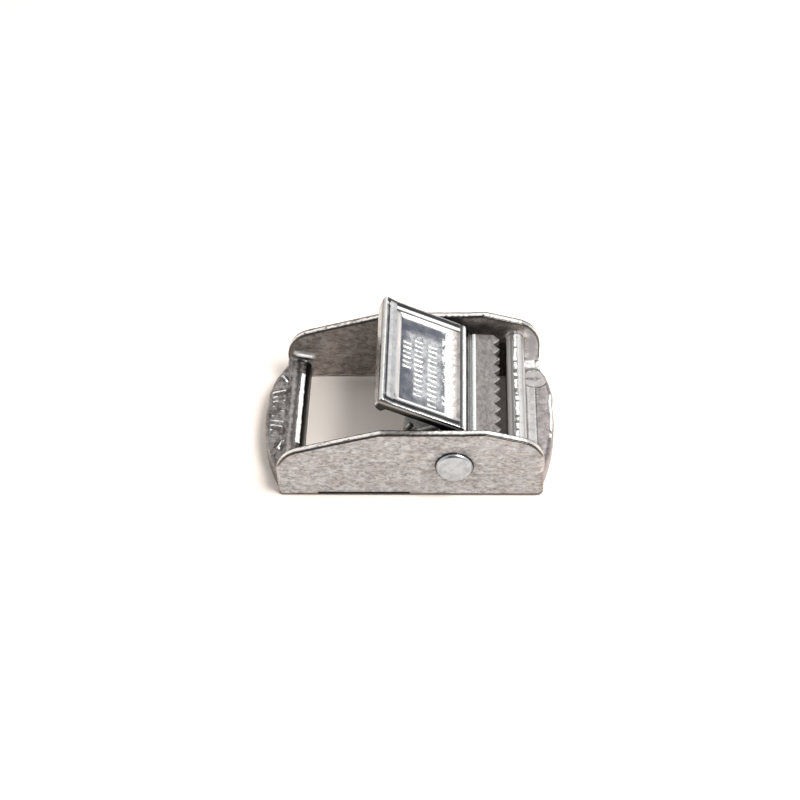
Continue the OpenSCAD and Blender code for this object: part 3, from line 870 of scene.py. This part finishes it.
class BUCKLE_OT_frame(Operator):
    """Builds the frame's pressing"""
    bl_idname = "buckle.frame"
    bl_label = "Frame"

    def execute(self, context):
        shape = context.scene.buckle_shape
        obj = pressed_copy("buckle_frame", "frame_pressing", shape.frame_grain, shape.edge_passes)
        points, _ = mesh_arrays(obj.data)
        normals = normals_of(obj.data)
        lift = shape.wave_depth * (noise_at(points, 2.2) + 0.5 * noise_at(points, 0.9, seed=5))
        lift += SWELLING_DEPTH * self.swellings(points, normals)
        tears = noise_at(points * (1, 0.6, 1), 0.55, seed=3)
        lift += shape.shear_depth * self.plate_tops(points, normals) * tears
        lift += EDGE_TEARS * self.other_edges(points) * tears
        lift += LIP_BARS_SHARE * shape.grip_height * self.lip_bars(points, normals)
        set_points(obj.data, points + self.trued(points) + normals * lift[:, None])
        mark_form(obj.data, passes=8, reach=0.05, wide_reach=0.11)
        thin_out(obj, PRESSING_TRIANGLES)
        finish_piece(obj, "frame", "buckle_frame", frame_metal(context.scene.buckle_finish))
        return {"FINISHED"}

    def swellings(self, points, normals):
        """Where the plates swell inwards, at the left bar's ends."""
        x, y, z = points.T
        inwards = step(-normals[:, 1] * np.sign(y), 0.5, 0.8) * step(np.abs(y), 13.2, 13.35)
        return inwards * band(x, -20.0, -17.0, 0.8) * band(z + 0.2 * (x + 18.5), 4.8, 5.5, 0.4)

    def plate_tops(self, points, normals):
        """The plates' sheared top edges, which are torn and uneven."""
        _, y, z = points.T
        return step(np.abs(y), HALF_INNER - 0.1, HALF_INNER + 0.1) * step(normals[:, 2], 0.3, 0.8) * (z > 5)

    def other_edges(self, points):
        """The anvil bar's far edge and the lips' edges, which are torn a little."""
        x, _, z = points.T
        anvil = band(x, 18.8, 19.8, 0.3) * step(z, 8.6, 9.6)
        lips = np.maximum(step(-x, 22.6, 23.4), step(x, 23.0, 23.5)) * step(z, 2.2, 3.0)
        return np.maximum(anvil, lips)

    def trued(self, points):
        """Shifts that draw the plates' tops up a little, and the lips' far parts out."""
        x, y, z = points.T
        plates = step(np.abs(y), HALF_INNER - 0.5, HALF_INNER - 0.2)
        rise = plates * step(z, 5, 12) * (TOPS_RISE + TOPS_RISE_MORE * step(x, 9, 13))
        far = step(y, 3, 6) * (1 - step(y, 12, 13.2)) * (1 - step(z, 5, 5.4))
        reach = far * (RIGHT_LIP_REACH * step(x, 22, 23) - LEFT_LIP_REACH * step(-x, 22, 23))
        return np.stack([reach, np.zeros(len(x)), rise], axis=1)

    def lip_bars(self, points, normals):
        """Raised grip bars on the left lip, square to its edge, and the two welts beside them."""
        x, y, z = points.T
        top = step(normals[:, 2], 0.6, 0.9) * (z > 3)
        bars = np.zeros(len(x))
        for place in np.arange(LIP_BARS_FROM, LIP_BARS_TO, LIP_BARS_PITCH):
            fanned = y - 0.06 * (x + 21.5) * place
            bars = np.maximum(bars, band(fanned, place - BAR_HALF, place + BAR_HALF, 0.13))
        wear = step(noise_at(points, 1.2, seed=7), -0.1, 0.4)
        bars *= (0.2 + 0.45 * wear) * band(x, -23.3, -21.3, 0.15)
        for (x_a, y_a), (x_b, y_b) in LIP_WELTS:
            length = math.hypot(x_b - x_a, y_b - y_a)
            u, v = (x_b - x_a) / length, (y_b - y_a) / length
            run = (x - x_a) * u + (y - y_a) * v
            off = (x - x_a) * v - (y - y_a) * u
            welt = WELT_SHARE * band(run, 0, length, 0.25) * band(off, -0.25, 0.25, 0.25)
            bars = np.maximum(bars, welt)
        return bars * top


class BUCKLE_OT_lever(Operator):
    """Builds the toothed cam lever"""
    bl_idname = "buckle.lever"
    bl_label = "Lever"

    def execute(self, context):
        shape = context.scene.buckle_shape
        passes = max(shape.edge_passes - 1, 0)
        obj = pressed_copy("cam_lever", "lever_pressing", shape.lever_grain, passes)
        points, _ = mesh_arrays(obj.data)
        normals = normals_of(obj.data)
        lift = shape.wave_depth * noise_at(points, 2.8, seed=9)
        from_axis = points - np.array(PIVOT)
        along, over, across = from_axis @ PANEL_DOWN, from_axis @ PANEL_UP, points[:, 1]
        upper = step(over, PANEL_LIFT - 0.9, PANEL_LIFT - 0.75) * step(normals @ PANEL_UP, 0.3, 0.7)
        lift += shape.grip_height * upper * self.grip_bars(along, across)
        lift += upper * self.beads(along, across)
        points += normals * lift[:, None]
        set_points(obj.data, points + upper[:, None] * self.shift_recess(along, across))
        mark_form(obj.data, passes=6, reach=0.04, wide_reach=0.11)
        thin_out(obj, PRESSING_TRIANGLES)
        finish_piece(obj, "lever", "cam_lever", lever_metal(context.scene.buckle_finish))
        return {"FINISHED"}

    def beads(self, along, across):
        """A bead along the panel's end, and a lower one in its far rim."""
        ends = 1 - step(np.abs(across), 11.6, 12.2)
        end_bead = END_BEAD * band(along, -1.45, -1.05, 0.22) * ends
        side_bead = SIDE_BEAD * band(across, 10.85, 11.25, 0.2) * band(along, -14.6, -2.2, 0.4)
        return end_bead + side_bead

    def shift_recess(self, along, across):
        """Moves the sides of the recess to where the real ones lie."""
        new_across = np.interp(
            across, (-20, -12.3, -10.6, -9.6, -4, 4, 9.6, 10.6, 12, 20),
            (-20, -12.3, -11.3, -10.7, -4.6, 3.8, 9.3, 10.35, 12, 20))
        new_along = np.interp(along, (-30, -16, -13.6, -13, -9, 30), (-30, -16, -13.5, -12.6, -9, 30))
        inside = step(along, -15.2, -14.2) * step(-along, 1.6, 2.6)
        sideways = np.outer(inside * (new_across - across), (0, 1, 0))
        return sideways + np.outer(new_along - along, PANEL_DOWN)

    def grip_bars(self, along, across):
        """Rows of raised grip bars of uneven height on the recess's floor."""
        bars = np.zeros(len(along))
        for place, centre, count in GRIP_ROWS:
            spots = np.array([(place, i, 0.3) for i in range(count)])
            heights = 0.85 + 0.5 * noise_at(spots, 1.7, seed=13)
            for i in range(count):
                middle = centre + (i - (count - 1) / 2) * GRIP_PITCH
                bar = band(along, place - 0.75, place + 0.75, 0.16)
                bar = bar * band(across, middle - BAR_HALF, middle + BAR_HALF, 0.14)
                bars = np.maximum(bars, bar * heights[i])
        return bars


class BUCKLE_OT_rivet(Operator):
    """Builds the rivet"""
    bl_idname = "buckle.rivet"
    bl_label = "Rivet"

    def execute(self, context):
        shape = context.scene.buckle_shape
        obj = pressed_copy("pivot_rivet", "rivet_form", shape.rivet_grain, passes=2)
        points, _ = mesh_arrays(obj.data)
        heads = step(np.abs(points[:, 1]), HALF_OUTER, HALF_OUTER + 0.2)
        lift = RIVET_DENTS * noise_at(points, 1.1, seed=21) * heads
        set_points(obj.data, points + normals_of(obj.data) * lift[:, None])
        mark_form(obj.data, passes=6, reach=0.034, wide_reach=0.08)
        thin_out(obj, RIVET_TRIANGLES)
        finish_piece(obj, "frame", "pivot_rivet", rivet_metal(context.scene.buckle_finish))
        return {"FINISHED"}


# The spring: places in X and Z from the rivet's axis, and its coil runs along Y
WIRE_R = 0.55
WIRE_SIDES = 20
COIL_R = 2.25
COIL_HALF = 2.4
COIL_TURNS = 4
STEPS_A_TURN = 40
LEG_STEPS = 6
HOOK_R = 0.75
HOOK_FROM = 135
HOOK_TO = 270
HOOK_STEP = 9
HOOK_TAIL = 1.1
FOOT = (-7.45, -4.95)
ARM_TIP = (-4.407, 6.933)


def leg_angle(place, side):
    """Angle round the coil at which a straight leg from a place meets it."""
    return math.atan2(place[1], place[0]) + side * math.acos(COIL_R / math.hypot(*place))


def spring_route():
    foot_angle = leg_angle(FOOT, 1)
    wound = leg_angle(ARM_TIP, -1) - foot_angle + 2 * math.pi * (COIL_TURNS + 1)
    steps = round(wound / (2 * math.pi) * STEPS_A_TURN)
    centre = Vector((FOOT[0], -COIL_HALF, FOOT[1] + HOOK_R))

    def on_hook(angle):
        return centre + HOOK_R * Vector((math.cos(angle), 0, math.sin(angle)))

    first = math.radians(HOOK_FROM)
    route = [on_hook(first) + HOOK_TAIL * Vector((math.sin(first), 0, -math.cos(first)))]
    route += [on_hook(math.radians(a)) for a in range(HOOK_FROM, HOOK_TO + 1, HOOK_STEP)]
    foot_leg = Vector((COIL_R * math.cos(foot_angle), -COIL_HALF, COIL_R * math.sin(foot_angle)))
    route += [route[-1].lerp(foot_leg, k / LEG_STEPS) for k in range(1, LEG_STEPS)]
    for i in range(steps + 1):
        angle = foot_angle + wound * i / steps
        y = COIL_HALF * (2 * i / steps - 1)
        route.append(Vector((COIL_R * math.cos(angle), y, COIL_R * math.sin(angle))))
    tip = Vector((ARM_TIP[0], COIL_HALF, ARM_TIP[1]))
    route += [route[-1].lerp(tip, k / LEG_STEPS) for k in range(1, LEG_STEPS + 1)]
    return [PIVOT + p for p in route]


def wire_mesh(name, route, radius, sides):
    """A round wire along a route, with its ends drawn in a little."""
    rings = [(route[0], 0.7), (route[0].lerp(route[1], 0.1), 1)] + [(p, 1) for p in route[1:-1]]
    rings += [(route[-1].lerp(route[-2], 0.1), 1), (route[-1], 0.7)]
    places = [p for p, _ in rings]
    points = []
    for i, (place, share) in enumerate(rings):
        ahead = (places[min(i + 1, len(rings) - 1)] - places[max(i - 1, 0)]).normalized()
        u = ahead.cross(Vector((0, 1, 0))).normalized()
        v = ahead.cross(u)
        for k in range(sides):
            turn = 2 * math.pi * k / sides
            points.append(place + radius * share * (math.cos(turn) * u + math.sin(turn) * v))
    faces = [tuple(range(sides - 1, -1, -1)), tuple(range(len(points) - sides, len(points)))]
    for i in range(len(rings) - 1):
        for k in range(sides):
            a, b = i * sides + k, i * sides + (k + 1) % sides
            faces.append((a, b, b + sides, a + sides))
    mesh = bpy.data.meshes.new(name)
    mesh.from_pydata(points, [], faces)
    return mesh


class BUCKLE_OT_spring(Operator):
    """Builds the torsion spring"""
    bl_idname = "buckle.spring"
    bl_label = "Spring"

    def execute(self, context):
        obj = new_piece("torsion_wire", wire_mesh("torsion_wire", spring_route(), WIRE_R, WIRE_SIDES))
        finish_piece(obj, None, "torsion_spring", wire_metal(context.scene.buckle_finish))
        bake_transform(obj)
        return {"FINISHED"}


def direction(azimuth, elevation):
    """Direction from the buckle: azimuth 0 is straight back, and positive is to the right."""
    a, e = math.radians(azimuth), math.radians(elevation)
    return Vector((math.sin(a) * math.cos(e), math.cos(a) * math.cos(e), math.sin(e)))


# The floor's half side and tone, and the key light's azimuth and elevation in degrees, distance and side
FLOOR_HALF = 1500
FLOOR_TONE = (0.88, 0.8, 0.735)
KEY_AZIMUTH = 115
KEY_ELEVATION = 57
KEY_DISTANCE = 600
KEY_SIDE = 300

# Parts of the studio round the buckle: azimuth, elevation, inner and outer radius in degrees, and tone
SKY = (
    (43, 19, 12, 34, (0.2, 0.22, 0.27)),
    (180, 42, 22, 48, (0.10, 0.10, 0.10)),
    (22, 42, 9, 15, (2.4, 2.4, 2.3)),
)


class BUCKLE_OT_stage(Operator):
    """Sets the floor, the light and the camera"""
    bl_idname = "buckle.stage"
    bl_label = "Stage"

    def execute(self, context):
        self.floor()
        self.studio(context.scene)
        self.lamps(context.scene)
        self.camera(context.scene)
        return {"FINISHED"}

    def floor(self):
        half = FLOOR_HALF * MM
        corners = [(-half, -half, 0), (half, -half, 0), (half, half, 0), (-half, half, 0)]
        mesh = bpy.data.meshes.new("floor")
        mesh.from_pydata(corners, [], [(0, 1, 2, 3)])
        floor = new_piece("floor", mesh)
        coat = Coat("floor_white", metallic=0.0)
        coat.give("Base Color", FLOOR_TONE)
        coat.give("Roughness", 0.9)
        mesh.materials.append(coat.material)

    def studio(self, scene):
        world = bpy.data.worlds.new("studio")
        scene.world = world
        world.use_nodes = True
        nodes = Nodes(world.node_tree)
        ray = nodes.put("ShaderNodeTexCoord").outputs["Generated"]
        height = nodes.put("ShaderNodeSeparateXYZ", {0: ray}).outputs[2]
        colour = nodes.blended(nodes.ramp(height, 0.0, 0.9), (0.8, 0.8, 0.8), (1.0, 1.0, 1.0))
        for azimuth, elevation, inner, outer, tone in SKY:
            near = nodes.dot(ray, direction(azimuth, elevation))
            rim, middle = math.cos(math.radians(outer)), math.cos(math.radians(inner))
            colour = nodes.blended(nodes.mapped(near, rim, middle, 0, 1, "SMOOTHSTEP"), colour, tone)
        nodes.feed(world.node_tree.nodes["Background"].inputs["Color"], colour)
        scene.view_settings.view_transform = "Standard"

    def lamps(self, scene):
        key = bpy.data.lights.new("key", "AREA")
        key.shape = "RECTANGLE"
        key.size = KEY_SIDE * MM
        key.size_y = KEY_SIDE * MM
        key.energy = scene.buckle_stage.key_power
        lamp = new_piece("key", key)
        toward = direction(KEY_AZIMUTH, KEY_ELEVATION)
        lamp.location = toward * KEY_DISTANCE * MM
        lamp.rotation_euler = toward.to_track_quat("Z", "Y").to_euler()

    def camera(self, scene):
        stage = scene.buckle_stage
        turn, rise, roll = stage.camera_turn, stage.camera_rise, stage.camera_roll
        ahead = Vector((-math.sin(turn) * math.cos(rise), math.cos(turn) * math.cos(rise), -math.sin(rise)))
        level = Vector((math.cos(turn), math.sin(turn), 0))
        upright = level.cross(ahead)
        side = level * math.cos(roll) + upright * math.sin(roll)
        up = upright * math.cos(roll) - level * math.sin(roll)
        data = bpy.data.cameras.new("camera")
        data.lens = stage.camera_lens
        data.sensor_width = 36
        data.clip_start = 0.01
        camera = new_piece("camera", data)
        place = (Vector(stage.camera_target) - ahead * stage.camera_distance) * MM
        camera.matrix_world = Matrix.Translation(place) @ Matrix((side, up, -ahead)).transposed().to_4x4()
        scene.camera = camera


class BUCKLE_PT_panel(Panel):
    """Lists the buckle's pieces"""
    bl_label = "Cam Buckle"
    bl_space_type = "VIEW_3D"
    bl_region_type = "UI"
    bl_category = "Buckle"

    def draw(self, context):
        for operator in PIECES:
            self.layout.operator(operator.bl_idname)


PIECES = (BUCKLE_OT_frame, BUCKLE_OT_lever, BUCKLE_OT_rivet, BUCKLE_OT_spring, BUCKLE_OT_stage)
CLASSES = (BuckleShape, BuckleFinish, BuckleStage, *PIECES, BUCKLE_PT_panel)


def register():
    for cls in CLASSES:
        bpy.utils.register_class(cls)
    bpy.types.Scene.buckle_shape = PointerProperty(type=BuckleShape)
    bpy.types.Scene.buckle_finish = PointerProperty(type=BuckleFinish)
    bpy.types.Scene.buckle_stage = PointerProperty(type=BuckleStage)


def unregister():
    del bpy.types.Scene.buckle_stage
    del bpy.types.Scene.buckle_finish
    del bpy.types.Scene.buckle_shape
    for cls in reversed(CLASSES):
        bpy.utils.unregister_class(cls)


def main():
    register()
    bpy.ops.buckle.frame()
    bpy.ops.buckle.lever()
    bpy.ops.buckle.rivet()
    bpy.ops.buckle.spring()
    bpy.ops.buckle.stage()


if __name__ == "__main__":
    main()
